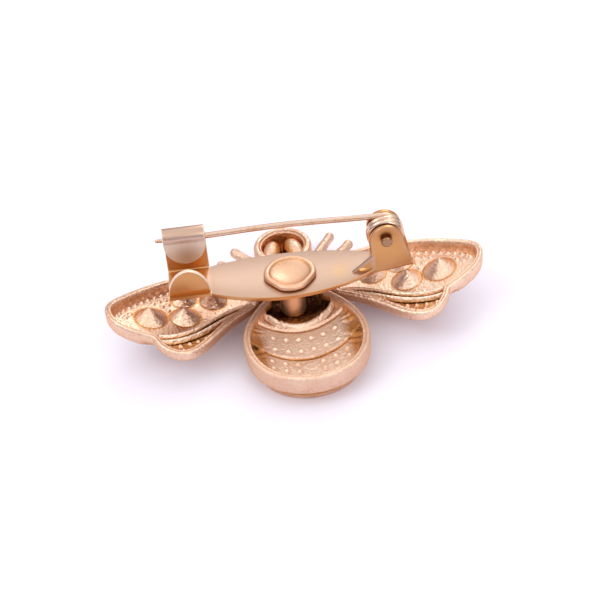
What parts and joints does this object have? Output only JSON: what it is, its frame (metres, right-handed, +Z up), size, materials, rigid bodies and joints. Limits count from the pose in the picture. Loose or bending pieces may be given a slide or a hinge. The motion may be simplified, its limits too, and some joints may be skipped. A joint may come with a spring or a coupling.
{
  "type": "bee brooch",
  "caption": "Bee-shaped stone-set brooch lying on its front, with a riveted bar pin on its back that swings open from a folded catch.",
  "frame": {"origin": "under the middle of the outline, on the surface that the brooch lies on, front down", "axes": "+X along the wings towards the pin's hinge, +Y towards the bee's head, +Z up towards the pin"},
  "size_m": [0.051, 0.0333, 0.016],
  "materials": {
    "rose_gold_plate": "satin",
    "pin_wire": "polished",
    "crystal": "cut and polished"
  },
  "bodies": {
    "brooch": {"casting": "rose_gold_plate", "pin_back": "rose_gold_plate", "hinge_rivet": "rose_gold_plate", "left_tip_stone": "crystal", "right_tip_stone": "crystal", "left_middle_stone": "crystal", "right_middle_stone": "crystal", "left_upper_stone": "crystal", "right_upper_stone": "crystal", "left_root_stone": "crystal", "right_root_stone": "crystal", "left_eye_stone": "crystal", "right_eye_stone": "crystal", "abdomen_stones": "crystal", "left_wing_stones": "crystal", "right_wing_stones": "crystal"},
    "pin": {"pin_stem": "pin_wire"}
  },
  "joints": [
    {"name": "pin_swing", "type": "hinge", "parent": "brooch", "child": "pin", "pos_m": [0.01253, -0.00005, 0.01309], "axis": [0.0785, 0.9969, 0], "range_deg": [0, 75]}
  ]
}
